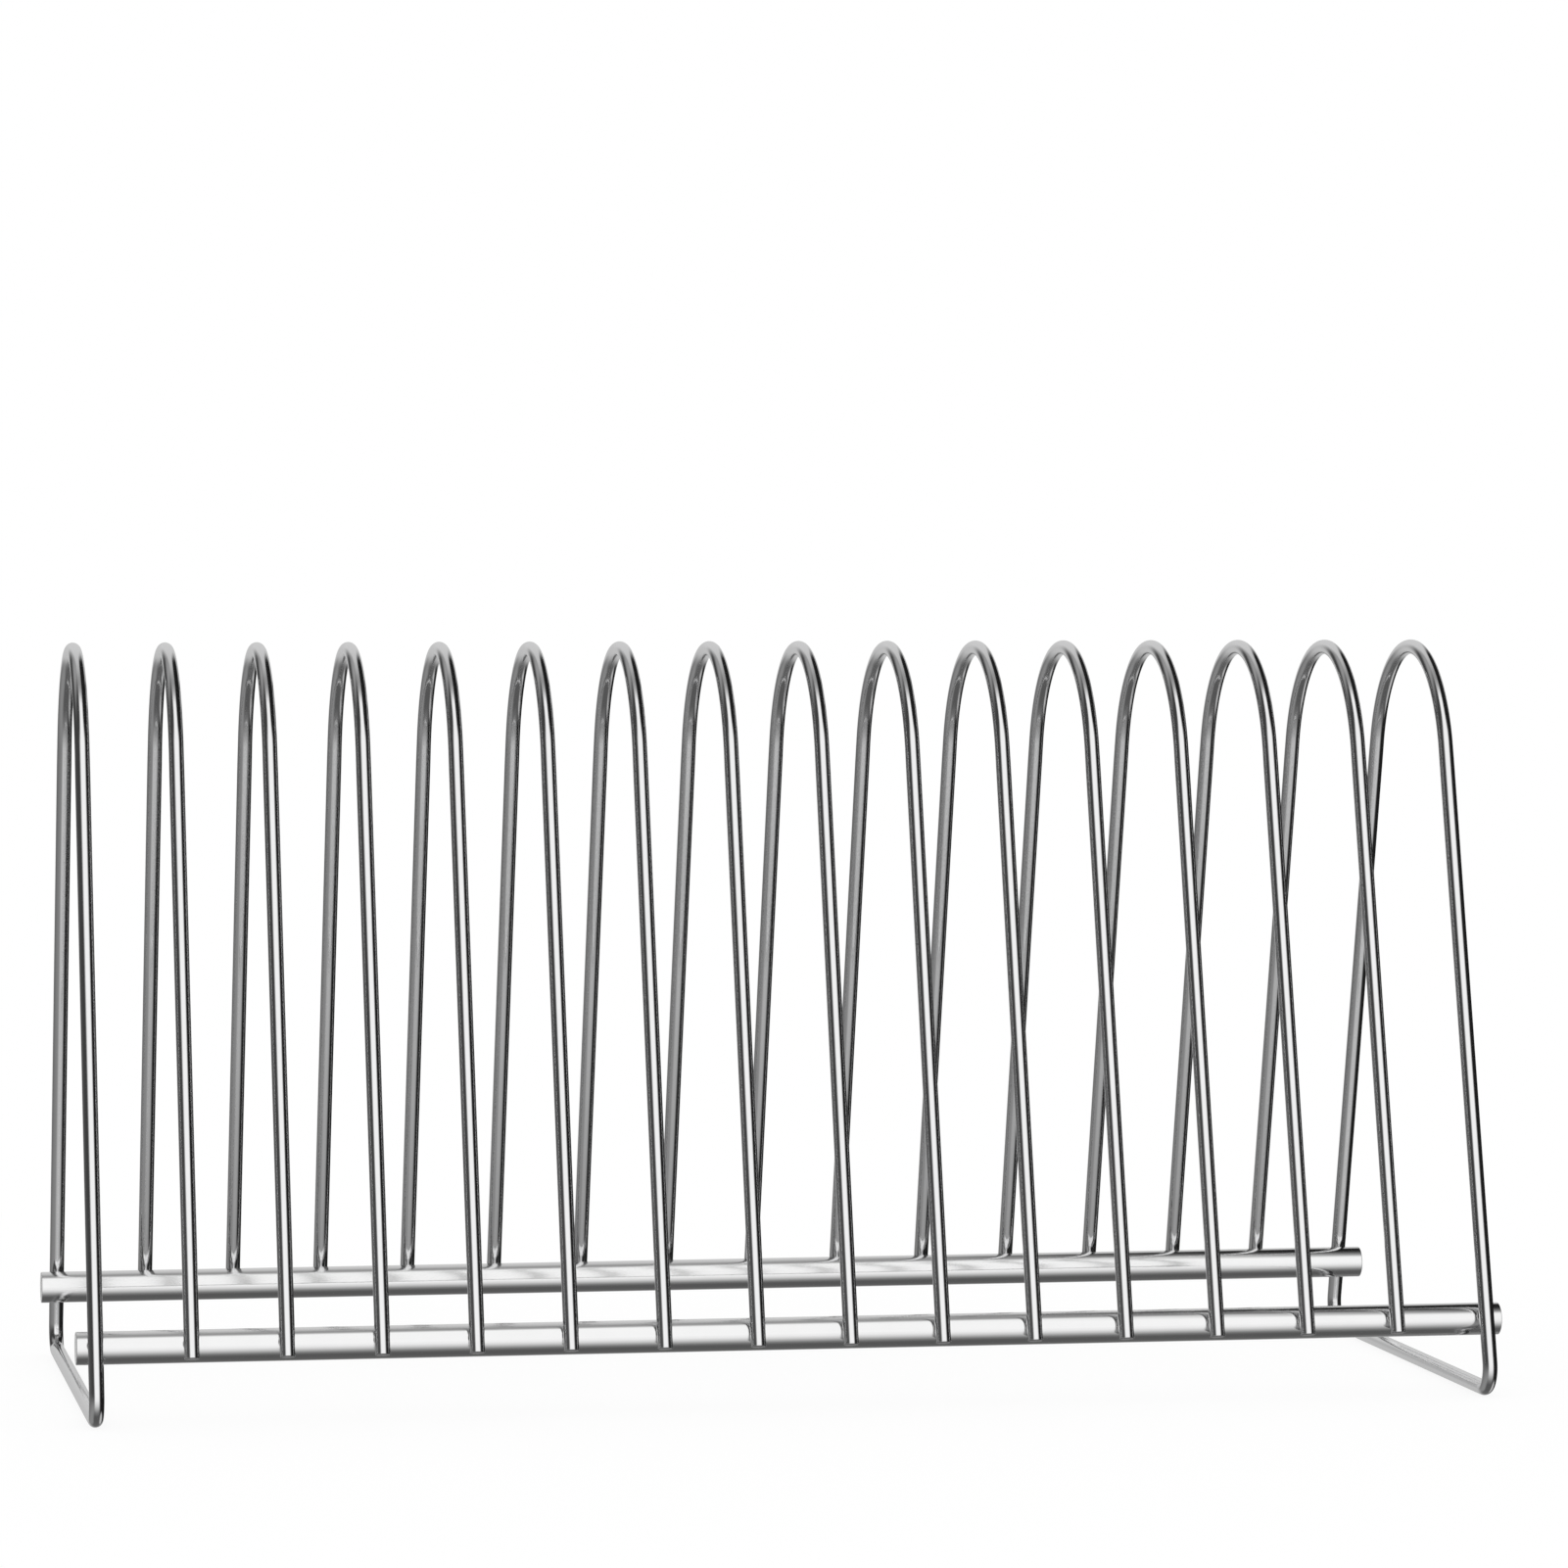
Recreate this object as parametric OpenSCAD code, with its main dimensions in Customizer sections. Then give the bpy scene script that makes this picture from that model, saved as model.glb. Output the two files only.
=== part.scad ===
// Record storage stand: a welded wire rack whose hoops hold twelve-inch records upright
// between them. Two thick cross rods carry the records and tie the hoops together.
// Millimetres, +Z up. The origin lies on the floor, in the middle of the footprint.
// X runs along the row of hoops, and Y from the front, which is negative, to the back.

/* [Overall] */
// Height from the floor to the top of the hoops
stand_h = 220; // [185:1:265]
// Width of the end frames at the floor, from front to back
foot_w = 180; // [150:1:216]

/* [Hoops] */
// Distance from the middle of one hoop to the middle of the next
hoop_pitch = 27; // [20:0.5:40]
// Number of open hoops between the two end frames
open_hoops = 14; // [1:1:50]
// Radius of the bend at the top of a hoop, at the middle of the wire
top_bend_r = 40; // [25:0.5:55]
// Radius of the bottom corners of the end frames, at the middle of the wire
corner_bend_r = 6.5; // [5:0.5:20]
// How far the legs of the open hoops run below the middle of the rods
leg_tail = 2.8; // [1.6:0.1:4]

/* [Wire and rods] */
// Diameter of the wire of the hoops and end frames
wire_d = 4.4; // [3.5:0.1:7]
// Loss of radius where the wire is stretched round a bend
bend_thinning = 0.03; // [0.02:0.01:0.1]
// Diameter of the two cross rods
rod_d = 9.4; // [7:0.1:13]
// Height of the middle of the rods above the floor
rod_z = 22; // [16:0.5:60]
// How far each end of a rod stands past the side of its end frame
rod_stub = 3; // [1:0.1:20]
// Chamfer on the cut ends of the wire
wire_chamfer = 0.3; // [0.1:0.05:0.8]
// Chamfer on the cut ends of the rods
rod_chamfer = 0.2; // [0.1:0.05:0.9]

/* [Welds] */
// Depth to which each wire sinks into a rod at its weld
weld_sink = 0.4; // [0.2:0.05:0.7]
// Width of the squeezed-out bead around each weld
weld_bead = 0.5; // [0.3:0.05:1.2]

/* [Hidden] */
$fn = 64;
// A bead is what is left of a ball beside two large rounds, and needs finer steps to be true
weld_fn = 144;
wire_r = wire_d / 2;
bent_r = wire_r - bend_thinning;
rod_r = rod_d / 2;

// Each straight stretch of wire runs this far into the bend beside it, to be one with it
into_bend = 0.3;

// The row of hoops: number 0 is the left end frame, and the last is the right one
last_hoop = open_hoops + 1;
row_l = last_hoop * hoop_pitch;
function hoop_x(i) = i * hoop_pitch - row_l / 2;

// Centres of the top bend and of the bottom corner, as heights and a distance from the middle
top_bend_z = stand_h - bent_r - top_bend_r;
corner_y = foot_w / 2 - bent_r - corner_bend_r;
corner_z = wire_r + corner_bend_r;

// A leg is the straight line that touches both bends, and leans inwards by this angle
bends_apart = norm([corner_y, top_bend_z - corner_z]);
bends_slope = atan2(top_bend_z - corner_z, corner_y);
lean = acos((top_bend_r - corner_bend_r) / bends_apart) - bends_slope;
leg_top = [0, top_bend_r * cos(lean), top_bend_z + top_bend_r * sin(lean)];
leg_l = sqrt(pow(bends_apart, 2) - pow(top_bend_r - corner_bend_r, 2));
open_leg_l = (leg_top.z - (rod_z - leg_tail)) / cos(lean);

// The rods lie against the inner side of the legs, and the wires sink into them a little
wire_to_rod = wire_r + rod_r - weld_sink;
leg_y_at_rod = leg_top.y + (leg_top.z - rod_z) * tan(lean);
rod_y = leg_y_at_rod - wire_to_rod / cos(lean);
rod_l = row_l + 2 * (wire_r + rod_stub);

// The bead is a ball around the seat, and reaches past the longest half of the seat
seat_half_l = max(sqrt(pow(rod_r, 2) - pow(rod_r - weld_sink, 2)),
                  sqrt(pow(wire_r, 2) - pow(wire_r - weld_sink, 2)));
bead_r = seat_half_l + weld_bead;

function arch_name(i) = str("arch_", i < 10 ? "0" : "", i);

// Draws its children at the back, and again mirrored to the front
module both_sides() {
    children();
    mirror([0, 1, 0]) children();
}

// A bend of the wire about the X axis, from one angle to another above the level
module wire_bend(bend_r, from, to) {
    rotate([90, 0, 90]) rotate([0, 0, from])
        rotate_extrude(angle = to - from) translate([bend_r, 0]) circle(r = bent_r);
}

module top_bend() {
    translate([0, 0, top_bend_z]) wire_bend(top_bend_r, lean, 180 - lean);
}

// Places its children where the rear leg starts, inside the top bend, with Z down the leg
module down_the_leg() {
    translate(leg_top) rotate([180 + lean, 0, 0]) translate([0, 0, -into_bend]) children();
}

module full_leg() {
    down_the_leg() cylinder(h = leg_l + 2 * into_bend, r = wire_r);
}

// The leg of an open hoop, which ends beside the rod in a small chamfer
module open_leg() {
    straight_l = into_bend + open_leg_l - wire_chamfer;
    down_the_leg() {
        cylinder(h = straight_l, r = wire_r);
        translate([0, 0, straight_l])
            cylinder(h = wire_chamfer, r1 = wire_r, r2 = wire_r - wire_chamfer);
    }
}

// One open hoop: the top bend and two legs
module arch(i) {
    color("silver") translate([hoop_x(i), 0, 0]) {
        top_bend();
        both_sides() open_leg();
    }
}

// One end frame: a closed loop that runs down to the floor and straight across it
module end_frame(i) {
    color("silver") translate([hoop_x(i), 0, 0]) {
        top_bend();
        both_sides() {
            full_leg();
            translate([0, corner_y, corner_z]) wire_bend(corner_bend_r, -90, lean);
        }
        translate([0, 0, wire_r]) rotate([90, 0, 0])
            cylinder(h = 2 * (corner_y + into_bend), r = wire_r, center = true);
    }
}

// The stretch of the rear leg that sinks into the rod, for cutting its seat
module wire_at_rod() {
    translate([0, rod_y, rod_z]) rotate([lean, 0, 0]) translate([0, wire_to_rod, 0])
        cylinder(h = 2 * rod_d, r = wire_r, center = true);
}

// A round bar along X with chamfered ends
module round_bar(bar_l) {
    half_l = bar_l / 2;
    rotate([0, 90, 0]) rotate_extrude() polygon([
        [0, -half_l], [rod_r - rod_chamfer, -half_l], [rod_r, rod_chamfer - half_l],
        [rod_r, half_l - rod_chamfer], [rod_r - rod_chamfer, half_l], [0, half_l]]);
}

// The rear cross rod, with a shallow seat for each wire
module cross_rod() {
    color("gainsboro") difference() {
        translate([0, rod_y, rod_z]) round_bar(rod_l);
        for (i = [0:last_hoop]) translate([hoop_x(i), 0, 0]) wire_at_rod();
    }
}

// The bead that one weld of the rear rod squeezes out around its seat. The ball is turned
// so that its poles lie inside the wire and the rod, and are cut away with them.
module weld() {
    seat_middle = rod_r - weld_sink / 2;
    difference() {
        translate([0, rod_y, rod_z]) rotate([lean, 0, 0])
            translate([0, seat_middle, 0]) rotate([90, 0, 0]) sphere(r = bead_r);
        wire_at_rod();
        translate([0, rod_y, rod_z]) rotate([0, 90, 0])
            cylinder(h = 2 * rod_d, r = rod_r, center = true);
    }
}

module rod_welds() {
    color("darkgray") for (i = [0:last_hoop]) translate([hoop_x(i), 0, 0])
        weld($fn = weld_fn);
}

module front_rod() { mirror([0, 1, 0]) cross_rod(); }
module rear_rod() { cross_rod(); }
module left_end_frame() { end_frame(0); }
module right_end_frame() { end_frame(last_hoop); }
module front_rod_welds() { mirror([0, 1, 0]) rod_welds(); }
module rear_rod_welds() { rod_welds(); }

front_rod();
rear_rod();
left_end_frame();
right_end_frame();
for (i = [1:open_hoops]) arch(i);
front_rod_welds();
rear_rod_welds();
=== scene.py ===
"""Record storage stand: sixteen hoops of polished wire, welded to two thick cross rods.

Metres, +Z up, X along the row of hoops and Y from the front, which is negative, to the back.
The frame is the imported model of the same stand, and every piece stands where its node stands.
"""

import math

import bmesh
import bpy
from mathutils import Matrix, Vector


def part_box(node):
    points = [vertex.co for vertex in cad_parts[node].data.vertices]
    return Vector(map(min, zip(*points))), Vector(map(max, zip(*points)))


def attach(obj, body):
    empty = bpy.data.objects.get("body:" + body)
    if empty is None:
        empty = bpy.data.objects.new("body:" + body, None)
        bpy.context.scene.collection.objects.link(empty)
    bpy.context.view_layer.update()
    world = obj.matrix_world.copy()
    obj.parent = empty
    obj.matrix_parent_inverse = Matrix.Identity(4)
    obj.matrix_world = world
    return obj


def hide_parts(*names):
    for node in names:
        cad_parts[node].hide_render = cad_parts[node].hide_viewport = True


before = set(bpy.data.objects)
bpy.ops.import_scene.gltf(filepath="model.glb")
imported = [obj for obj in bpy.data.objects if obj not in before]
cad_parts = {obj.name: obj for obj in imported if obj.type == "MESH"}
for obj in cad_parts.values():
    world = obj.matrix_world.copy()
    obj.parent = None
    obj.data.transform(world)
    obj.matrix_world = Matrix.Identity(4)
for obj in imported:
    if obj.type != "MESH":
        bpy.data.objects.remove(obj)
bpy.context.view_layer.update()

bl_info = {
    "name": "Record Storage Stand",
    "version": (1, 0, 0),
    "blender": (4, 5, 0),
    "location": "View3D > Sidebar > Record Stand",
    "description": "Builds a welded wire stand that holds twelve-inch records upright",
    "category": "Add Mesh",
}

MM = 0.001
ARCH_NODES = sorted(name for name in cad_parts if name.startswith("arch_"))

# Coarseness of the meshes
WIRE_SIDES = 56
ROD_SIDES = 144
TOP_BEND_STEPS = 36
CORNER_STEPS = 16
WELD_SIDES = 32
WELD_RINGS = 20
WIRE_EDGE_STEPS = 4
ROD_EDGE_STEPS = 5
CARD_SIDES = 64
CARD_RINGS = 32

# The wire swells from a bend to its full thickness over this length of the straight beside it
SWELL_L = 6 * MM
# Points this near each other are one point
MERGE_WITHIN = 0.001 * MM
# Points this near a plane lie in it
IN_PLANE = 0.01 * MM
# A face looks along a direction if the cosine between its normal and the direction passes this
FACING = 0.99
# A cut face has a ring of edges inside its outline, at this share of its rounded edge's width
WIRE_FACE_INSET = 0.3
ROD_FACE_INSET = 0.25
# A finished piece's box may differ from its node's, whose rounds are drawn in flats, by this
BOX_SLACK = 0.12 * MM
# The weld beads' may differ by this, as they are uneven and reach into the wire and the rod
BEAD_BOX_SLACK = 0.72 * MM
# A bead is cut off past this share of the wire's radius, outwards from its seat, and past this
# share of the rod's, inwards
BEAD_INTO_WIRE = 0.6
BEAD_INTO_ROD = 0.25
# How far the surface of a bead strays from round
BEAD_UNEVENNESS = 0.05 * MM
# The finish of a cut end starts this far before the end
CUT_EDGE_L = 0.1 * MM
# Step in which the unevenness of polished metal is counted, and that of weld metal
POLISH_BUMP = 0.0007 * MM
WELD_BUMP = 0.012 * MM
# Share of the shadow's reach within which the floor takes the shadow in full
FULL_SHADOW = 0.4
# Width of the camera's sensor in millimetres
SENSOR_W = 36


# ---------------------------------------------------------------- sizes read from the frame


def box_size(node):
    """The length of a node's box along X, Y and Z, to a hundredth of a millimetre."""
    low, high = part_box(node)
    return [round(high[i] - low[i], 5) for i in range(3)]


def box_middle(node, axis):
    low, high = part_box(node)
    return (low[axis] + high[axis]) / 2


def in_tenths(size):
    """A size of the frame to a tenth of a millimetre, as its rounds are drawn a little small."""
    return round(size / MM, 1) * MM


END_FRAME_SIZE = box_size("left_end_frame")
ROD_SIZE = box_size("rear_rod")


# ---------------------------------------------------------------- what a user would change


class StandSizes(bpy.types.PropertyGroup):
    """Sizes of the stand"""

    stand_h: bpy.props.FloatProperty(
        name="Height",
        description="From the floor to the top of the hoops",
        default=in_tenths(END_FRAME_SIZE[2]),
        min=0.1,
        unit="LENGTH",
        subtype="DISTANCE",
    )
    foot_w: bpy.props.FloatProperty(
        name="Width at the floor",
        description="From the front to the back of the end frames",
        default=in_tenths(END_FRAME_SIZE[1]),
        min=0.1,
        unit="LENGTH",
        subtype="DISTANCE",
    )
    wire_d: bpy.props.FloatProperty(
        name="Wire",
        description="Diameter of the wire of the hoops and end frames",
        default=in_tenths(END_FRAME_SIZE[0]),
        min=0.002,
        unit="LENGTH",
        subtype="DISTANCE",
    )
    rod_d: bpy.props.FloatProperty(
        name="Rods",
        description="Diameter of the two cross rods",
        default=in_tenths(ROD_SIZE[2]),
        min=0.004,
        unit="LENGTH",
        subtype="DISTANCE",
    )
    rod_l: bpy.props.FloatProperty(
        name="Rod length",
        description="Length of the two cross rods",
        default=in_tenths(ROD_SIZE[0]),
        min=0.05,
        unit="LENGTH",
        subtype="DISTANCE",
    )
    rod_z: bpy.props.FloatProperty(
        name="Rod height",
        description="Height of the middle of the rods above the floor",
        default=in_tenths(box_middle("rear_rod", 2)),
        min=0.01,
        unit="LENGTH",
        subtype="DISTANCE",
    )
    top_bend_r: bpy.props.FloatProperty(
        name="Top bend",
        description="Radius of the bend at the top of a hoop, at the middle of the wire",
        default=40 * MM,
        unit="LENGTH",
        subtype="DISTANCE",
    )
    corner_bend_r: bpy.props.FloatProperty(
        name="Bottom corners",
        description="Radius of the bottom corners of the end frames, at the middle of the wire",
        default=6.5 * MM,
        unit="LENGTH",
        subtype="DISTANCE",
    )
    bend_thinning: bpy.props.FloatProperty(
        name="Thinning",
        description="Loss of radius where the wire is stretched round a bend",
        default=0.03 * MM,
        unit="LENGTH",
        subtype="DISTANCE",
    )
    leg_tail: bpy.props.FloatProperty(
        name="Leg ends",
        description="How far the legs of the open hoops run below the middle of the rods",
        default=2.8 * MM,
        unit="LENGTH",
        subtype="DISTANCE",
    )
    wire_end: bpy.props.FloatProperty(
        name="Wire end rounding",
        description="Width of the rounded edge on the cut ends of the wire",
        default=0.3 * MM,
        unit="LENGTH",
        subtype="DISTANCE",
    )
    rod_end: bpy.props.FloatProperty(
        name="Rod end rounding",
        description="Width of the rounded edge on the cut ends of the rods",
        default=0.2 * MM,
        unit="LENGTH",
        subtype="DISTANCE",
    )
    weld_sink: bpy.props.FloatProperty(
        name="Weld depth",
        description="Depth to which each wire sinks into a rod at its weld",
        default=0.4 * MM,
        unit="LENGTH",
        subtype="DISTANCE",
    )
    weld_bead: bpy.props.FloatProperty(
        name="Weld bead",
        description="Width of the metal squeezed out around each weld",
        default=0.5 * MM,
        unit="LENGTH",
        subtype="DISTANCE",
    )


class StandFinish(bpy.types.PropertyGroup):
    """Finish of the metal"""

    wire_colour: bpy.props.FloatVectorProperty(
        name="Wire colour",
        description="Colour that the polished wire reflects",
        default=(0.9, 0.9, 0.905),
        min=0,
        max=1,
        size=3,
        subtype="COLOR",
    )
    rod_colour: bpy.props.FloatVectorProperty(
        name="Rod colour",
        description="Colour that the polished rods reflect",
        default=(0.93, 0.93, 0.93),
        min=0,
        max=1,
        size=3,
        subtype="COLOR",
    )
    # The welds' colour is far darker than the wire's and the rods': painted shade of the joint
    # where the wire meets the rod
    weld_colour_and_painted_shade: bpy.props.FloatVectorProperty(
        name="Weld colour",
        description="Colour that the metal around the welds reflects",
        default=(0.52, 0.515, 0.51),
        min=0,
        max=1,
        size=3,
        subtype="COLOR",
    )
    wire_roughness: bpy.props.FloatProperty(
        name="Wire roughness",
        description="Roughness of the polished wire",
        default=0.12,
        min=0,
        max=1,
        subtype="FACTOR",
    )
    rod_roughness: bpy.props.FloatProperty(
        name="Rod roughness",
        description="Roughness of the polished rods",
        default=0.12,
        min=0,
        max=1,
        subtype="FACTOR",
    )
    cut_roughness: bpy.props.FloatProperty(
        name="Cut roughness",
        description="Roughness of the wires' cut ends, which the rods' ends and the welds follow",
        default=0.32,
        min=0,
        max=1,
        subtype="FACTOR",
    )


class StudioSettings(bpy.types.PropertyGroup):
    """Camera, floor and light"""

    camera_place: bpy.props.FloatVectorProperty(
        name="Camera",
        description="Where the camera stands",
        default=(-330.6 * MM, -1907.6 * MM, 245.7 * MM),
        size=3,
        unit="LENGTH",
        subtype="TRANSLATION",
    )
    camera_yaw: bpy.props.FloatProperty(
        name="Camera yaw",
        description="How far the camera looks to the right of straight back",
        default=0.1762,
        unit="ROTATION",
        subtype="ANGLE",
    )
    camera_tilt: bpy.props.FloatProperty(
        name="Camera tilt",
        description="How far the camera looks down",
        default=0.0353,
        unit="ROTATION",
        subtype="ANGLE",
    )
    camera_lens: bpy.props.FloatProperty(
        name="Lens",
        description="Focal length, in millimetres, on a sensor 36 mm wide",
        default=149.0,
        subtype="NONE",
    )
    floor_w: bpy.props.FloatProperty(
        name="Floor",
        description="Width of the floor",
        default=12.0,
        unit="LENGTH",
        subtype="DISTANCE",
    )
    shadow_r: bpy.props.FloatProperty(
        name="Shadow reach",
        description="Distance from the stand at which its shadow has faded into the white floor",
        default=0.55,
        unit="LENGTH",
        subtype="DISTANCE",
    )
    shadow_depth: bpy.props.FloatProperty(
        name="Shadow depth",
        description="Share of the floor's white near the stand that can be shadowed",
        default=0.1,
        min=0,
        max=1,
        subtype="FACTOR",
    )
    light: bpy.props.FloatProperty(
        name="Light",
        description="Brightness of the soft white light from all around",
        default=1.0,
        min=0,
        subtype="NONE",
    )
    cards_r: bpy.props.FloatProperty(
        name="Cards",
        description="Distance of the dark cards that the metal mirrors",
        default=20.0,
        unit="LENGTH",
        subtype="DISTANCE",
    )


# ---------------------------------------------------------------- modelling by hand, in code


def deselect_everything():
    """Back to object mode with nothing selected and nothing active."""
    if bpy.context.view_layer.objects.active and bpy.context.mode != "OBJECT":
        bpy.ops.object.mode_set(mode="OBJECT")
    bpy.ops.object.select_all(action="DESELECT")
    bpy.context.view_layer.objects.active = None


def pick(obj):
    """Makes obj the only selected object and the active one."""
    deselect_everything()
    obj.select_set(True)
    bpy.context.view_layer.objects.active = obj


def edit(obj):
    pick(obj)
    bpy.ops.object.mode_set(mode="EDIT")


def select_edges(obj, wanted):
    """In edit mode, selects only the edges of obj whose two ends both pass the test."""
    bpy.ops.mesh.select_all(action="DESELECT")
    bpy.ops.mesh.select_mode(type="EDGE")
    mesh = bmesh.from_edit_mesh(obj.data)
    for edge in mesh.edges:
        edge.select_set(all(wanted(corner.co) for corner in edge.verts))
    mesh.select_flush(True)
    bmesh.update_edit_mesh(obj.data)


def select_faces(obj, wanted):
    """In edit mode, selects only the faces of obj whose middle and normal pass the test."""
    bpy.ops.mesh.select_all(action="DESELECT")
    bpy.ops.mesh.select_mode(type="FACE")
    mesh = bmesh.from_edit_mesh(obj.data)
    for face in mesh.faces:
        face.select_set(wanted(face.calc_center_median(), face.normal))
    bmesh.update_edit_mesh(obj.data)


def extrude(step):
    """Extrudes what is selected by a vector."""
    bpy.ops.mesh.extrude_region_move(TRANSFORM_OT_translate={"value": tuple(step)})


def resize(factor, middle):
    """Scales what is selected about a point."""
    bpy.ops.transform.resize(value=(factor, factor, factor), center_override=tuple(middle))


def spin(steps, angle, centre):
    """Spins what is selected about an axis along X. A positive angle turns from +Y to +Z.

    The operator itself counts the other way.
    """
    bpy.ops.mesh.spin(steps=steps, angle=-angle, center=tuple(centre), axis=(1, 0, 0))


def apply_modifier(obj, kind, **settings):
    modifier = obj.modifiers.new(kind.title(), kind)
    for name, value in settings.items():
        setattr(modifier, name, value)
    pick(obj)
    bpy.ops.object.modifier_apply(modifier=modifier.name)


def close_and_smooth(obj, sharp_degrees=40):
    """Merges doubles, turns the faces outwards and smooths all but the sharp edges."""
    edit(obj)
    bpy.ops.mesh.select_all(action="SELECT")
    bpy.ops.mesh.remove_doubles(threshold=MERGE_WITHIN)
    bpy.ops.mesh.normals_make_consistent(inside=False)
    pick(obj)
    bpy.ops.object.shade_smooth_by_angle(angle=math.radians(sharp_degrees))


def put_at_origin(obj):
    """Leaves obj at the origin, unturned and unscaled, with its place in its mesh."""
    pick(obj)
    bpy.ops.object.transform_apply(location=True, rotation=True, scale=True)


def copy_along_x(obj, name, distance):
    """A copy of obj with a mesh of its own, moved along the row."""
    pick(obj)
    bpy.ops.object.duplicate(linked=False)
    copy = bpy.context.view_layer.objects.active
    bpy.ops.transform.translate(value=(distance, 0, 0))
    put_at_origin(copy)
    rename(copy, name)
    return copy


def rename(obj, name):
    obj.name = name
    obj.data.name = name


def hand_over(obj, node, slot, material):
    """Gives the piece its material and puts it in its node's place, if it fills the node's box."""
    slack = BEAD_BOX_SLACK if slot == "weld" else BOX_SLACK
    for node_corner, lowest_or_highest in zip(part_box(node), (min, max)):
        for axis in range(3):
            reach = lowest_or_highest(corner[axis] for corner in obj.bound_box)
            apart = abs(reach - node_corner[axis])
            if apart > slack:
                raise RuntimeError(f"{obj.name} is {apart / MM:.2f} mm off {node} on axis {axis}")
    obj.data.materials.clear()
    obj.data.materials.append(material)
    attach(obj, "root")
    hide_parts(node)


# ---------------------------------------------------------------- the shape of a hoop


class HoopShape:
    """Where a hoop's bends and legs lie in the YZ plane, from the stand's sizes."""

    def __init__(self, sizes):
        self.wire_r = sizes.wire_d / 2
        self.bent_r = self.wire_r - sizes.bend_thinning
        self.top_bend_r = sizes.top_bend_r
        self.corner_bend_r = sizes.corner_bend_r
        self.top_bend_z = sizes.stand_h - self.bent_r - sizes.top_bend_r
        self.corner_y = sizes.foot_w / 2 - self.bent_r - sizes.corner_bend_r
        self.corner_z = self.wire_r + sizes.corner_bend_r

        rise = self.top_bend_z - self.corner_z
        bends_apart = math.hypot(self.corner_y, rise)
        radii_apart = sizes.top_bend_r - sizes.corner_bend_r
        # A leg touches both bends, and leans inwards by this angle
        self.lean = math.acos(radii_apart / bends_apart) - math.atan2(rise, self.corner_y)
        self.down_leg = Vector((0, math.sin(self.lean), -math.cos(self.lean)))
        self.out_of_leg = Vector((0, math.cos(self.lean), math.sin(self.lean)))
        self.top_bend = Vector((0, 0, self.top_bend_z))
        self.corner = Vector((0, self.corner_y, self.corner_z))
        self.leg_top = self.top_bend + self.out_of_leg * sizes.top_bend_r
        self.full_leg_l = math.sqrt(bends_apart**2 - radii_apart**2)
        leg_end_z = sizes.rod_z - sizes.leg_tail
        self.open_leg_l = (self.leg_top.z - leg_end_z) / math.cos(self.lean)

        # The rods lie against the inner side of the legs, and the wires sink into them a little
        wire_to_rod = self.wire_r + sizes.rod_d / 2 - sizes.weld_sink
        leg_y_at_rod = self.leg_top.y + (self.leg_top.z - sizes.rod_z) * math.tan(self.lean)
        self.rod_y = leg_y_at_rod - wire_to_rod / math.cos(self.lean)
        self.top_bend_l = sizes.top_bend_r * (math.pi / 2 - self.lean)
        self.corner_l = sizes.corner_bend_r * (math.pi / 2 + self.lean)

    def straightened(self, point, has_corner):
        """A point of the wire as it would lie if the wire were straight: across, out and along.

        Along is counted from the top of the hoop, and is negative on the front half.
        """
        side = -1 if point.y < 0 else 1
        rear = Vector((0, abs(point.y), point.z))
        below_bend = (rear - self.leg_top).dot(self.down_leg)
        if below_bend < 0:
            spoke = rear - self.top_bend
            along = math.atan2(spoke.y, spoke.z) * self.top_bend_r
            return Vector((point.x, spoke.length - self.top_bend_r, side * along))
        if not has_corner or below_bend < self.full_leg_l:
            out = (rear - self.leg_top).dot(self.out_of_leg)
            return Vector((point.x, out, side * (self.top_bend_l + below_bend)))
        legs_l = self.top_bend_l + self.full_leg_l
        if rear.y > self.corner_y:
            spoke = rear - self.corner
            turned = self.lean - math.atan2(spoke.z, spoke.y)
            along = legs_l + turned * self.corner_bend_r
            return Vector((point.x, spoke.length - self.corner_bend_r, side * along))
        along = legs_l + self.corner_l + self.corner_y - rear.y
        return Vector((point.x, self.wire_r - rear.z, side * along))


def start_hoop(shape):
    """A ring of wire at the top of a hoop, spun round the rear half of the top bend."""
    deselect_everything()
    bpy.ops.mesh.primitive_circle_add(
        vertices=WIRE_SIDES,
        radius=shape.bent_r,
        location=shape.top_bend + Vector((0, 0, shape.top_bend_r)),
        rotation=(math.pi / 2, 0, 0),
    )
    hoop = bpy.context.view_layer.objects.active
    put_at_origin(hoop)
    edit(hoop)
    bpy.ops.mesh.select_all(action="SELECT")
    spin(TOP_BEND_STEPS, shape.lean - math.pi / 2, shape.top_bend)
    return hoop


def swell(middle, step, factor):
    """Extrudes the ring of wire that is selected, and swells or thins it at its new place."""
    extrude(step)
    resize(factor, middle + step)
    return middle + step


def model_open_hoop(shape, wire_end):
    """An open hoop: the top bend, and two legs whose cut ends have a small rounded edge."""
    hoop = start_hoop(shape)
    down = shape.down_leg
    middle = swell(shape.leg_top, down * SWELL_L, shape.wire_r / shape.bent_r)
    extrude(down * (shape.open_leg_l - SWELL_L))
    bpy.ops.mesh.edge_face_add()
    leg_end = middle + down * (shape.open_leg_l - SWELL_L)

    def at_leg_end(place):
        return abs((place - leg_end).dot(down)) < IN_PLANE

    def in_cut_face(place, normal):
        return at_leg_end(place) and abs(normal.dot(down)) > FACING

    select_edges(hoop, at_leg_end)
    bpy.ops.mesh.bevel(offset=wire_end, segments=WIRE_EDGE_STEPS, profile=0.5, affect="EDGES")
    select_faces(hoop, in_cut_face)
    bpy.ops.mesh.inset(thickness=WIRE_FACE_INSET * wire_end)
    return hoop


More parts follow.
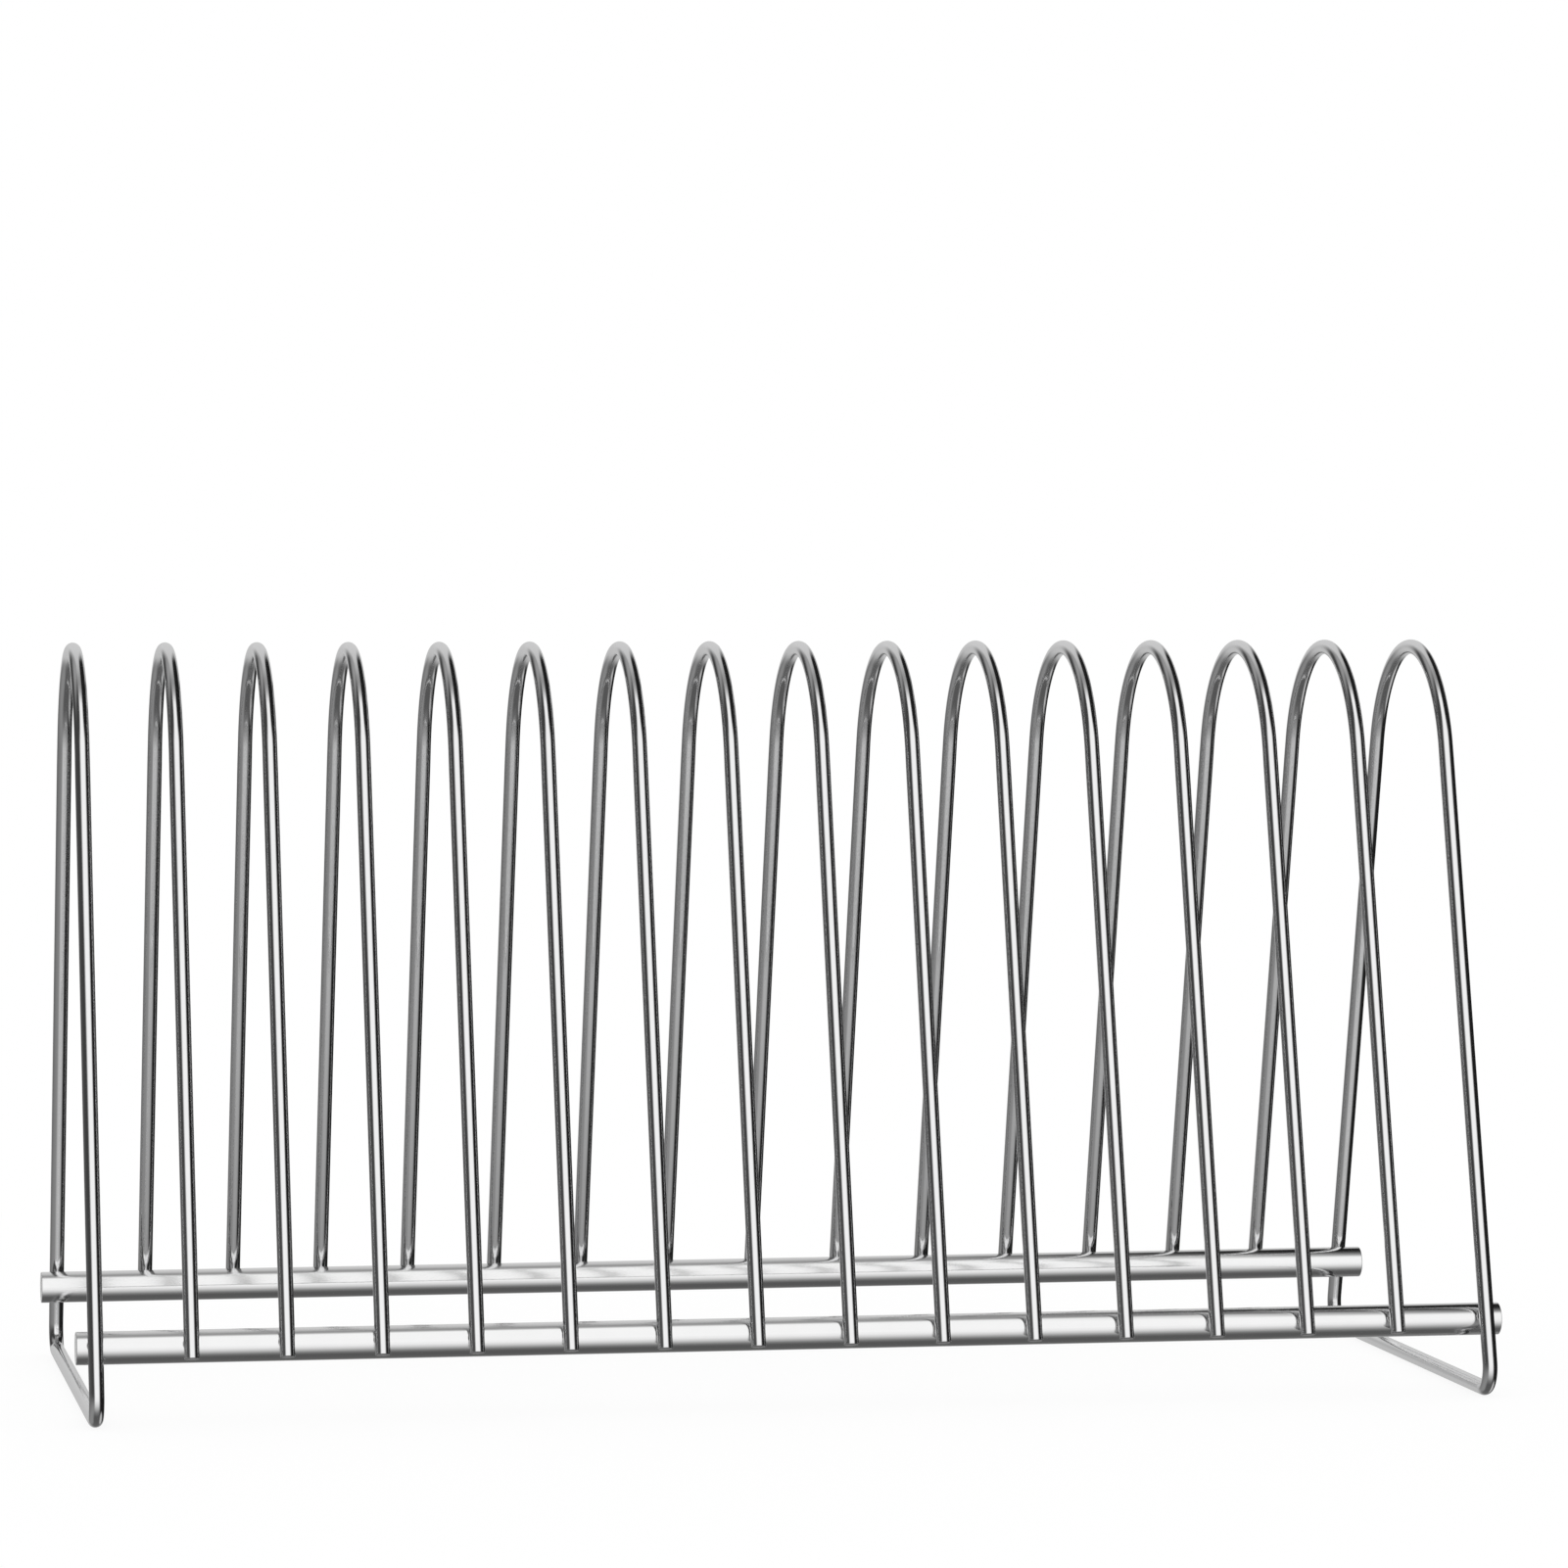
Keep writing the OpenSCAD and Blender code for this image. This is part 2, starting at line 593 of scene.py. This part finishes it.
def model_end_frame(shape):
    """An end frame: a closed loop of wire that runs down to the floor and straight across it."""
    hoop = start_hoop(shape)
    down = shape.down_leg
    fuller = shape.wire_r / shape.bent_r
    middle = swell(shape.leg_top, down * SWELL_L, fuller)
    between_swells = down * (shape.full_leg_l - 2 * SWELL_L)
    extrude(between_swells)
    middle = swell(middle + between_swells, down * SWELL_L, 1 / fuller)
    spin(CORNER_STEPS, -shape.lean - math.pi / 2, shape.corner)
    inwards = Vector((0, -1, 0))
    corner_end = Vector((0, shape.corner_y, shape.wire_r))
    middle = swell(corner_end, inwards * SWELL_L, fuller)
    extrude(inwards * middle.y)
    return hoop


def finish_hoop(hoop, shape, has_corner):
    """Mirrors the rear half to the front, and has each point of the mesh note where it lies.

    It notes its place on the straightened wire, and whether that is at a cut end. The end
    frames have no cut end.
    """
    bpy.ops.object.mode_set(mode="OBJECT")
    front_and_back = (False, True, False)
    apply_modifier(hoop, "MIRROR", use_axis=front_and_back, merge_threshold=MERGE_WITHIN)
    close_and_smooth(hoop)
    places = [shape.straightened(corner.co, has_corner) for corner in hoop.data.vertices]
    along_wire = hoop.data.attributes.new("along_wire", "FLOAT_VECTOR", "POINT")
    for noted, place in zip(along_wire.data, places):
        noted.vector = place
    cut_from = shape.top_bend_l + shape.open_leg_l - CUT_EDGE_L
    cut_end = hoop.data.attributes.new("cut_end", "FLOAT", "POINT")
    for noted, place in zip(cut_end.data, places):
        noted.value = 0 if has_corner or abs(place.z) < cut_from else 1


# ---------------------------------------------------------------- rods and welds


def model_rod(sizes, rod_y):
    """A round bar along X, with rounded edges and a ring inside the outline of each end."""
    deselect_everything()
    bpy.ops.mesh.primitive_cylinder_add(
        vertices=ROD_SIDES,
        radius=sizes.rod_d / 2,
        depth=sizes.rod_l,
        location=(0, rod_y, sizes.rod_z),
        rotation=(0, math.pi / 2, 0),
        end_fill_type="NGON",
    )
    rod = bpy.context.view_layer.objects.active
    put_at_origin(rod)
    half_l = sizes.rod_l / 2
    edit(rod)
    for side in (-1, 1):
        select_edges(rod, lambda place, side=side: side * place.x > half_l - IN_PLANE)
        bpy.ops.mesh.bevel(
            offset=sizes.rod_end, segments=ROD_EDGE_STEPS, profile=0.5, affect="EDGES"
        )
    select_faces(rod, lambda place, normal: abs(normal.x) > FACING)
    bpy.ops.mesh.inset(thickness=ROD_FACE_INSET * sizes.rod_end, use_individual=True)
    close_and_smooth(rod)
    return rod


def model_weld(sizes, shape, side):
    """The bead that one weld squeezes out around its seat, on the front (-1) or rear (1) rod.

    It starts as a ball at the seat. What would lie deep in the wire or in the rod is cut off.
    """
    rod_r = sizes.rod_d / 2
    sink = sizes.weld_sink
    seat_half_l = max(math.sqrt(r**2 - (r - sink) ** 2) for r in (rod_r, shape.wire_r))
    outwards = Vector((0, side * shape.out_of_leg.y, shape.out_of_leg.z))
    rod_middle = Vector((0, side * shape.rod_y, sizes.rod_z))
    seat = rod_middle + outwards * (rod_r - sink / 2)
    deselect_everything()
    bpy.ops.mesh.primitive_uv_sphere_add(
        segments=WELD_SIDES,
        ring_count=WELD_RINGS,
        radius=seat_half_l + sizes.weld_bead,
        location=seat,
        rotation=(side * (shape.lean - math.pi / 2), 0, 0),
    )
    weld = bpy.context.view_layer.objects.active
    put_at_origin(weld)
    edit(weld)
    cuts = ((BEAD_INTO_WIRE * shape.wire_r, True), (-BEAD_INTO_ROD * rod_r, False))
    for reach, keep_below in cuts:
        bpy.ops.mesh.select_all(action="SELECT")
        bpy.ops.mesh.bisect(
            plane_co=tuple(seat + outwards * reach),
            plane_no=tuple(outwards),
            use_fill=True,
            clear_outer=keep_below,
            clear_inner=not keep_below,
        )
    bpy.ops.mesh.select_all(action="SELECT")
    bpy.ops.transform.vertex_random(offset=BEAD_UNEVENNESS, uniform=0.0, normal=1.0, seed=7)
    bpy.ops.mesh.vertices_smooth(factor=0.5, repeat=2)
    close_and_smooth(weld, sharp_degrees=50)
    return weld


# ---------------------------------------------------------------- shader maths


class Shade:
    """A socket of a node tree. Python arithmetic on it adds the Math nodes that work it out."""

    def __init__(self, tree, socket):
        self.tree = tree
        self.socket = socket

    def __add__(self, other):
        return math_node(self.tree, "ADD", self, other)

    def __sub__(self, other):
        return math_node(self.tree, "SUBTRACT", self, other)

    def __mul__(self, other):
        return math_node(self.tree, "MULTIPLY", self, other)

    def __truediv__(self, other):
        return math_node(self.tree, "DIVIDE", self, other)

    def __rsub__(self, other):
        return math_node(self.tree, "SUBTRACT", other, self)

    __radd__ = __add__
    __rmul__ = __mul__

    def clamped(self):
        """This value, kept between 0 and 1."""
        return add_node(self.tree, "ShaderNodeClamp", inputs={"Value": self})

    def step(self, low, high, from_value=0.0, to_value=1.0):
        """A smooth step from one value to another as this one goes from low to high."""
        settings = {"interpolation_type": "SMOOTHSTEP"}
        ends = {"Value": self, 1: low, 2: high, 3: from_value, 4: to_value}
        return add_node(self.tree, "ShaderNodeMapRange", settings, ends)


def add_node(tree, kind, settings=None, inputs=None, output=0):
    """Adds a node: first its settings, then the values or links of its sockets."""
    node = tree.nodes.new(kind)
    for name, value in (settings or {}).items():
        if name == "stops":
            set_stops(node.color_ramp, value)
        else:
            setattr(node, name, value)
    for name, value in (inputs or {}).items():
        if isinstance(value, Shade):
            tree.links.new(value.socket, node.inputs[name])
        else:
            node.inputs[name].default_value = value
    return Shade(tree, node.outputs[output])


def set_stops(ramp, stops):
    """Sets a ramp's stops from pairs of place and grey level."""
    while len(ramp.elements) > 1:
        ramp.elements.remove(ramp.elements[-1])
    for index, (place, level) in enumerate(stops):
        stop = ramp.elements[0] if index == 0 else ramp.elements.new(place)
        stop.position = place
        stop.color = (level, level, level, 1)


def math_node(tree, operation, *values):
    settings = {"operation": operation}
    return add_node(tree, "ShaderNodeMath", settings, dict(enumerate(values)))


def split(vector):
    """The X, Y and Z of a vector."""
    parts = add_node(vector.tree, "ShaderNodeSeparateXYZ", inputs={0: vector}).socket.node
    return [Shade(vector.tree, socket) for socket in parts.outputs]


def scaled(vector, scale):
    """A vector multiplied along X, Y and Z."""
    settings = {"operation": "MULTIPLY"}
    return add_node(vector.tree, "ShaderNodeVectorMath", settings, {0: vector, 1: scale})


def noise(place, per_metre, detail):
    """Smooth noise at a place, from about -0.5 to 0.5, with so many swells in a metre."""
    inputs = {"Vector": place, "Scale": per_metre, "Detail": detail}
    return add_node(place.tree, "ShaderNodeTexNoise", inputs=inputs, output="Fac") - 0.5


def mix_colour(mask, colour_a, colour_b):
    """colour_a where the mask is 0 and colour_b where it is 1."""
    settings = {"data_type": "RGBA"}
    inputs = {0: mask, 6: with_alpha(colour_a), 7: with_alpha(colour_b)}
    return add_node(mask.tree, "ShaderNodeMix", settings, inputs, output=2)


def with_alpha(colour):
    return colour if isinstance(colour, Shade) else (*colour[:3], 1)


def new_material(name):
    """An empty material and its node tree."""
    material = bpy.data.materials.new(name)
    material.use_nodes = True
    material.node_tree.nodes.clear()
    return material, material.node_tree


def connect_surface(tree, shader):
    output = tree.nodes.new("ShaderNodeOutputMaterial")
    tree.links.new(shader.socket, output.inputs["Surface"])


def metal_surface(tree, colour, roughness, height, bump_height, metallic=1.0):
    """Bare metal whose surface is uneven by a height, counted in steps of bump_height."""
    bump = add_node(
        tree,
        "ShaderNodeBump",
        inputs={"Strength": 1.0, "Distance": bump_height, "Height": height},
    )
    metal = add_node(
        tree,
        "ShaderNodeBsdfPrincipled",
        inputs={
            "Base Color": colour,
            "Metallic": metallic,
            "Roughness": roughness,
            "Normal": bump,
        },
    )
    connect_surface(tree, metal)


def darker(colour, share):
    return [channel * (1 - share) for channel in colour[:3]]


# ---------------------------------------------------------------- finishes


# The frame brings plain materials named after the slots, so no finish is named after a slot
WIRE_FINISH = "wire_finish"


def wire_attribute(tree, name, output):
    """What each point of the wire's mesh notes under a name."""
    settings = {"attribute_type": "GEOMETRY", "attribute_name": name}
    return add_node(tree, "ShaderNodeAttribute", settings, output=output)


def polished_wire(finish):
    """Drawn and polished wire: fine lines along it, faint waves, dull patches, and rough cut ends
    whose darker colour is painted shade.
    """
    material, tree = new_material(WIRE_FINISH)
    along_wire = wire_attribute(tree, "along_wire", "Vector")
    cut = wire_attribute(tree, "cut_end", "Fac")
    drawn_lines = noise(scaled(along_wire, (1, 1, 0.012)), per_metre=3200, detail=3)
    waves = noise(scaled(along_wire, (0.6, 0.6, 1)), per_metre=38, detail=1)
    patches = noise(along_wire, per_metre=160, detail=3)
    handled = noise(along_wire, per_metre=22, detail=2)
    saw_marks = noise(scaled(along_wire, (1, 0.06, 1)), per_metre=5200, detail=2)

    tone = (0.5 + 0.9 * patches + 0.7 * drawn_lines).clamped()
    colour = mix_colour(tone, darker(finish.wire_colour, 0.06), finish.wire_colour)
    # The cut ends get a much darker colour as painted shade; their roughness and saw marks are
    # real
    colour = mix_colour(cut, colour, darker(finish.wire_colour, 0.6))
    polish = finish.wire_roughness + 0.05 * handled + 0.035 * patches + 0.02 * drawn_lines
    roughness = polish * (1 - cut) + finish.cut_roughness * cut
    height = drawn_lines * (1 - cut) + 22 * waves + 3 * saw_marks * cut
    metal_surface(tree, colour, roughness, height, POLISH_BUMP)
    return material


def wire_material(finish):
    """The wire's finish, made once and shared by the end frames and the open hoops."""
    return bpy.data.materials.get(WIRE_FINISH) or polished_wire(finish)


def polished_rod(finish, sizes):
    """Ground and polished bar: fine lines along it, dull patches, sawn ends."""
    material, tree = new_material("rod_finish")
    place = add_node(tree, "ShaderNodeTexCoord", output="Object")
    x = split(place)[0]
    ground_lines = noise(scaled(place, (0.01, 1, 1)), per_metre=2600, detail=3)
    waves = noise(scaled(place, (1, 0.4, 0.4)), per_metre=30, detail=1)
    patches = noise(place, per_metre=130, detail=3)
    handled = noise(place, per_metre=16, detail=2)
    half_l = sizes.rod_l / 2
    cut = math_node(tree, "ABSOLUTE", x).step(half_l - CUT_EDGE_L, half_l - 0.3 * CUT_EDGE_L)
    saw_marks = noise(scaled(place, (1, 0.05, 1)), per_metre=4200, detail=2)

    tone = (0.5 + 0.9 * patches + 0.6 * ground_lines).clamped()
    colour = mix_colour(tone, darker(finish.rod_colour, 0.05), finish.rod_colour)
    sawn_tone = (0.6 + 1.6 * saw_marks).clamped()
    sawn_colour = mix_colour(sawn_tone, darker(finish.rod_colour, 0.3), finish.rod_colour)
    colour = mix_colour(cut, colour, sawn_colour)
    polish = finish.rod_roughness + 0.04 * handled + 0.03 * patches + 0.015 * ground_lines
    roughness = polish * (1 - cut) + 0.4 * finish.cut_roughness * cut
    height = ground_lines * (1 - cut) + 26 * waves + 1.5 * saw_marks * cut
    # The saw leaves scratches too fine to draw, which scatter the light from all around
    metallic = 1 - 0.5 * cut
    metal_surface(tree, colour, roughness, height, POLISH_BUMP, metallic)
    return material


def weld_metal(finish):
    """The metal squeezed out at a weld: polished over and pitted, in a colour far darker than the
    wire's that is painted shade of the joint.
    """
    material, tree = new_material("weld_finish_and_painted_shade")
    place = add_node(tree, "ShaderNodeTexCoord", output="Object")
    pits = noise(place, per_metre=1500, detail=3)
    ripples = noise(place, per_metre=520, detail=1)
    tone = (0.5 + 1.4 * pits).clamped()
    # The pits vary the tone, and the dark colour under them is painted shade of the joint
    colour = mix_colour(tone, darker(finish.weld_colour_and_painted_shade, 0.3), finish.weld_colour_and_painted_shade)
    roughness = finish.cut_roughness - 0.06 + 0.25 * pits
    metal_surface(tree, colour, roughness, pits + 2.5 * ripples, WELD_BUMP)
    return material


# ---------------------------------------------------------------- studio


BLACK = (0, 0, 0, 1)
WHITE = (1, 1, 1, 1)

# Brightness of the studio that the metal mirrors, in the plane across the row, by the angle in
# degrees: 0 is straight in front, 90 straight above and 180 straight behind
STUDIO_ROUND = [
    (-180, 0.56),
    (-165, 0.54),
    (-153, 0.42),
    (-143, 0.23),
    (-133, 0.13),
    (-100, 0.10),
    (-73, 0.10),
    (-56, 0.20),
    (-40, 0.44),
    (-26, 0.70),
    (-10, 0.92),
    (8, 1.00),
    (63, 1.00),
    (72, 0.98),
    (78, 0.68),
    (84, 0.42),
    (92, 0.30),
    (99, 0.33),
    (109, 0.46),
    (120, 0.56),
    (132, 0.62),
    (147, 0.64),
    (165, 0.64),
    (180, 0.56),
]


def light_world(studio):
    """Soft white light from all around, which is also the white background."""
    world = bpy.data.worlds.new("studio")
    world.use_nodes = True
    tree = world.node_tree
    tree.nodes.clear()
    inputs = {"Color": WHITE, "Strength": studio.light}
    shader = add_node(tree, "ShaderNodeBackground", inputs=inputs)
    output = tree.nodes.new("ShaderNodeOutputWorld")
    tree.links.new(shader.socket, output.inputs["Surface"])
    bpy.context.scene.world = world


def left_open(tree):
    """How much of the white world the cards around the stand leave open in each direction."""
    place = add_node(tree, "ShaderNodeTexCoord", output="Object")
    direction = add_node(tree, "ShaderNodeVectorMath", {"operation": "NORMALIZE"}, {0: place})
    x, y, z = split(direction)
    around = math_node(tree, "ARCTAN2", z, 0 - y) / math.tau + 0.5
    stops = [(angle / 360 + 0.5, level) for angle, level in STUDIO_ROUND]
    round_row = add_node(tree, "ShaderNodeValToRGB", {"stops": stops}, {0: around})
    # The side cards stand closer together behind and above the stand than in front of it
    sideways = x * y.step(-0.1, 0.6, 1.0, 1.6) * z.step(0.5, 0.95, 1.0, 1.8)
    between_cards = sideways.step(-0.74, -0.34) * sideways.step(0.79, 0.44)
    high_behind = z.step(0.35, 0.75) * y.step(-0.1, 0.4)
    left_card = z.step(-0.6, 0.3, 0.26, 0.05) + 0.28 * high_behind
    low = z.step(-0.52, -0.66) * y.step(-0.2, 0.0)
    just_above_floor = y.step(0.52, 0.65) * z.step(0.1, 0.17) * z.step(0.42, 0.3)
    right_card = 0.013 + 0.55 * low + 0.5 * just_above_floor
    to_the_right = x.step(-0.1, 0.1)
    cards = left_card * (1 - to_the_right) + right_card * to_the_right
    return round_row * between_cards + cards * (1 - between_cards)


def add_cards(studio):
    """The dark cards of a studio for metal: all around, with soft edges, seen only mirrored."""
    deselect_everything()
    bpy.ops.mesh.primitive_uv_sphere_add(
        segments=CARD_SIDES, ring_count=CARD_RINGS, radius=studio.cards_r
    )
    cards = bpy.context.view_layer.objects.active
    rename(cards, "studio_cards")
    material, tree = new_material("studio_cards")
    card = add_node(tree, "ShaderNodeBsdfDiffuse", inputs={"Color": BLACK})
    opening = add_node(tree, "ShaderNodeBsdfTransparent")
    inputs = {0: left_open(tree), 1: card, 2: opening}
    connect_surface(tree, add_node(tree, "ShaderNodeMixShader", inputs=inputs))
    cards.data.materials.append(material)
    for rays in ("camera", "diffuse", "transmission", "volume_scatter", "shadow"):
        setattr(cards, f"visible_{rays}", False)


def floor_finish(studio):
    """Plain white floor. It takes a faint shadow near the stand, and is pure white beyond.

    A part of its white is lit and takes the shadow, and the rest is its own glow.
    """
    material, tree = new_material("pale_floor")
    place = add_node(tree, "ShaderNodeTexCoord", output="Object")
    settings = {"operation": "LENGTH"}
    distance = add_node(tree, "ShaderNodeVectorMath", settings, {0: place}, output="Value")
    path = add_node(tree, "ShaderNodeLightPath").socket.node
    rays = ("Is Camera Ray", "Is Glossy Ray", "Is Transmission Ray")
    shown = sum((Shade(tree, path.outputs[ray]) for ray in rays), 0).clamped()
    fades_from = FULL_SHADOW * studio.shadow_r
    lit_part = distance.step(fades_from, studio.shadow_r, studio.shadow_depth, 0.0)
    colour = mix_colour(lit_part, BLACK, WHITE)
    lit = add_node(tree, "ShaderNodeBsdfDiffuse", inputs={"Color": colour})
    strength = shown * (1 - studio.light * lit_part)
    glow = add_node(tree, "ShaderNodeEmission", inputs={"Color": WHITE, "Strength": strength})
    surface = add_node(tree, "ShaderNodeAddShader", inputs={0: glow, 1: lit})
    connect_surface(tree, surface)
    return material


def add_floor(studio):
    deselect_everything()
    bpy.ops.mesh.primitive_plane_add(size=studio.floor_w, location=(0, 0, 0))
    floor = bpy.context.view_layer.objects.active
    rename(floor, "floor")
    floor.data.materials.append(floor_finish(studio))
    # Below the horizon the metal mirrors the cards, not this floor
    floor.visible_glossy = False


def add_camera(studio):
    data = bpy.data.cameras.new("camera")
    data.lens = studio.camera_lens
    data.sensor_width = SENSOR_W
    data.clip_end = 50
    camera = bpy.data.objects.new("camera", data)
    bpy.context.scene.collection.objects.link(camera)
    camera.location = studio.camera_place
    camera.rotation_euler = (math.pi / 2 - studio.camera_tilt, 0, -studio.camera_yaw)
    bpy.context.scene.camera = camera


# ---------------------------------------------------------------- operators


class StandOperator:
    """What the operators of the stand share."""

    bl_options = {"REGISTER", "UNDO"}

    @property
    def sizes(self):
        return bpy.context.scene.stand_sizes

    @property
    def finish(self):
        return bpy.context.scene.stand_finish


class STAND_OT_end_frames(StandOperator, bpy.types.Operator):
    """Model the closed end frames that the stand rests on"""

    bl_idname = "stand.end_frames"
    bl_label = "End Frames"

    def execute(self, context):
        shape = HoopShape(self.sizes)
        material = wire_material(self.finish)
        hoop = model_end_frame(shape)
        finish_hoop(hoop, shape, has_corner=True)
        for side in ("left", "right"):
            node = f"{side}_end_frame"
            piece = copy_along_x(hoop, f"{side}_wire_frame", box_middle(node, 0))
            hand_over(piece, node, "polished_wire", material)
        bpy.data.objects.remove(hoop)
        return {"FINISHED"}


class STAND_OT_arches(StandOperator, bpy.types.Operator):
    """Model the open hoops between the end frames"""

    bl_idname = "stand.arches"
    bl_label = "Open Hoops"

    def execute(self, context):
        shape = HoopShape(self.sizes)
        material = wire_material(self.finish)
        hoop = model_open_hoop(shape, self.sizes.wire_end)
        finish_hoop(hoop, shape, has_corner=False)
        for number, node in enumerate(ARCH_NODES, start=1):
            piece = copy_along_x(hoop, f"wire_hoop_{number:02d}", box_middle(node, 0))
            hand_over(piece, node, "polished_wire", material)
        bpy.data.objects.remove(hoop)
        return {"FINISHED"}


class STAND_OT_rods(StandOperator, bpy.types.Operator):
    """Model the two thick cross rods"""

    bl_idname = "stand.rods"
    bl_label = "Cross Rods"

    def execute(self, context):
        shape = HoopShape(self.sizes)
        material = polished_rod(self.finish, self.sizes)
        for name, side in (("front", -1), ("rear", 1)):
            rod = model_rod(self.sizes, side * shape.rod_y)
            rename(rod, f"{name}_cross_rod")
            hand_over(rod, f"{name}_rod", "polished_rod", material)
        return {"FINISHED"}


class STAND_OT_welds(StandOperator, bpy.types.Operator):
    """Model the weld beads where the wires lie on the rods"""

    bl_idname = "stand.welds"
    bl_label = "Welds"

    def execute(self, context):
        shape = HoopShape(self.sizes)
        material = weld_metal(self.finish)
        hoops = ["left_end_frame", *ARCH_NODES, "right_end_frame"]
        for name, side in (("front", -1), ("rear", 1)):
            weld = model_weld(self.sizes, shape, side)
            beads = [copy_along_x(weld, f"{name}_bead", box_middle(hoop, 0)) for hoop in hoops]
            bpy.data.objects.remove(weld)
            pick(beads[0])
            for bead in beads:
                bead.select_set(True)
            bpy.ops.object.join()
            rename(beads[0], f"{name}_weld_beads")
            hand_over(beads[0], f"{name}_rod_welds", "weld", material)
        return {"FINISHED"}


class STAND_OT_studio(StandOperator, bpy.types.Operator):
    """Set up the white floor, the soft studio light and the camera"""

    bl_idname = "stand.studio"
    bl_label = "Studio"

    def execute(self, context):
        studio = bpy.context.scene.stand_studio
        bpy.context.scene.view_settings.view_transform = "Standard"
        light_world(studio)
        add_floor(studio)
        add_cards(studio)
        add_camera(studio)
        return {"FINISHED"}


class STAND_PT_panel(bpy.types.Panel):
    """Lists the stand's pieces, sizes and finishes"""

    bl_idname = "STAND_PT_panel"
    bl_label = "Record Stand"
    bl_space_type = "VIEW_3D"
    bl_region_type = "UI"
    bl_category = "Record Stand"

    def draw(self, context):
        layout = self.layout
        for operator in OPERATORS:
            layout.operator(operator.bl_idname)
        scene = context.scene
        for group in (scene.stand_sizes, scene.stand_finish, scene.stand_studio):
            column = layout.column(align=True)
            for name in group.__annotations__:
                column.prop(group, name)


OPERATORS = (
    STAND_OT_end_frames,
    STAND_OT_arches,
    STAND_OT_rods,
    STAND_OT_welds,
    STAND_OT_studio,
)
CLASSES = (StandSizes, StandFinish, StudioSettings, *OPERATORS, STAND_PT_panel)


def register():
    for cls in CLASSES:
        bpy.utils.register_class(cls)
    bpy.types.Scene.stand_sizes = bpy.props.PointerProperty(type=StandSizes)
    bpy.types.Scene.stand_finish = bpy.props.PointerProperty(type=StandFinish)
    bpy.types.Scene.stand_studio = bpy.props.PointerProperty(type=StudioSettings)


def unregister():
    del bpy.types.Scene.stand_studio
    del bpy.types.Scene.stand_finish
    del bpy.types.Scene.stand_sizes
    for cls in reversed(CLASSES):
        bpy.utils.unregister_class(cls)


def main():
    """Builds the stand and its studio."""
    register()
    bpy.ops.stand.end_frames()
    bpy.ops.stand.arches()
    bpy.ops.stand.rods()
    bpy.ops.stand.welds()
    bpy.ops.stand.studio()


if __name__ == "__main__":
    main()
